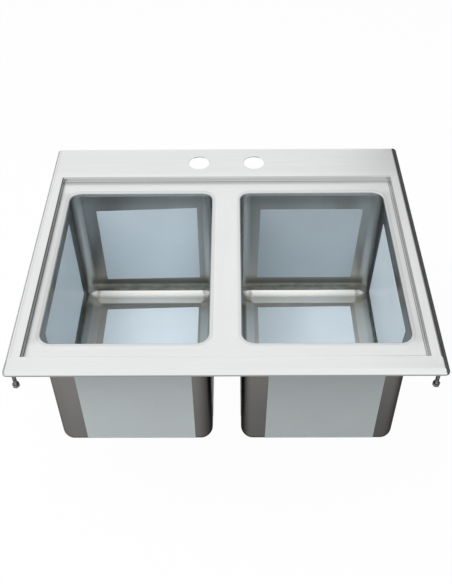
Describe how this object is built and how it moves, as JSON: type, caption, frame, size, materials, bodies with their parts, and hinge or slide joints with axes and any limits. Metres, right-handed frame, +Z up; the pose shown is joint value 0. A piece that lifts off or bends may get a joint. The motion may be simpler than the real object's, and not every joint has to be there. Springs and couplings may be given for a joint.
{
  "type": "double bowl kitchen sink",
  "caption": "Drop-in stainless steel kitchen sink: side-by-side deep bowls, stepped rim, faucet ledge, drains with lift-out crumb cups, hold-down studs with nuts, protective film.",
  "frame": {"origin": "middle of the rim, in the plane of the worktop that the rim's foot rests on", "axes": "+X from the left bowl to the right bowl, +Y from the user to the faucet ledge, +Z up"},
  "size_m": [0.643, 0.547, 0.4174],
  "materials": {
    "steel": "satin brushed stainless steel",
    "inner_film": "pale blue peel-off film, satin",
    "outer_film": "grey-green peel-off film, matt",
    "zinc": "zinc-plated steel",
    "chrome": "polished chrome plate",
    "gasket_rubber": "matt black rubber",
    "fibre": "pressed fibre",
    "white_plastic": "white polyethylene"
  },
  "bodies": {
    "sink": {"deck": "steel", "bowl_left": "steel", "bowl_right": "steel", "film_back_left": "inner_film", "film_front_left": "inner_film", "film_west_left": "inner_film", "film_east_left": "inner_film", "film_floor_left": "inner_film", "film_back_right": "inner_film", "film_front_right": "inner_film", "film_west_right": "inner_film", "film_east_right": "inner_film", "film_floor_right": "inner_film", "film_outer_front_left": "outer_film", "film_outer_back_left": "outer_film", "film_outer_west_left": "outer_film", "film_outer_east_left": "outer_film", "film_outer_front_right": "outer_film", "film_outer_back_right": "outer_film", "film_outer_west_right": "outer_film", "film_outer_east_right": "outer_film", "drain_body_left": "chrome", "drain_gasket_left": "gasket_rubber", "friction_ring_left": "fibre", "locknut_left": "chrome", "tail_washer_left": "white_plastic", "tailpiece_left": "chrome", "coupling_nut_left": "chrome", "drain_body_right": "chrome", "drain_gasket_right": "gasket_rubber", "friction_ring_right": "fibre", "locknut_right": "chrome", "tail_washer_right": "white_plastic", "tailpiece_right": "chrome", "coupling_nut_right": "chrome", "stud_front_left": "zinc", "stud_front_right": "zinc", "stud_rear_left": "zinc", "stud_rear_right": "zinc"},
    "cup_left": {"crumb_cup_left": "chrome"},
    "cup_right": {"crumb_cup_right": "chrome"},
    "nut_fl": {"nut_front_left": "zinc"},
    "nut_fr": {"nut_front_right": "zinc"},
    "nut_rl": {"nut_rear_left": "zinc"},
    "nut_rr": {"nut_rear_right": "zinc"}
  },
  "joints": [
    {"name": "cup_left_lift", "type": "slide", "parent": "sink", "child": "cup_left", "axis": [0, 0, 1], "range_m": [0, 0.06]},
    {"name": "cup_right_lift", "type": "slide", "parent": "sink", "child": "cup_right", "axis": [0, 0, 1], "range_m": [0, 0.06]},
    {"name": "nut_front_left_travel", "type": "slide", "parent": "sink", "child": "nut_fl", "axis": [0, 0, 1], "range_m": [-0.003, 0.025]},
    {"name": "nut_front_right_travel", "type": "slide", "parent": "sink", "child": "nut_fr", "axis": [0, 0, 1], "range_m": [-0.003, 0.025]},
    {"name": "nut_rear_left_travel", "type": "slide", "parent": "sink", "child": "nut_rl", "axis": [0, 0, 1], "range_m": [-0.003, 0.025]},
    {"name": "nut_rear_right_travel", "type": "slide", "parent": "sink", "child": "nut_rr", "axis": [0, 0, 1], "range_m": [-0.003, 0.025]}
  ]
}
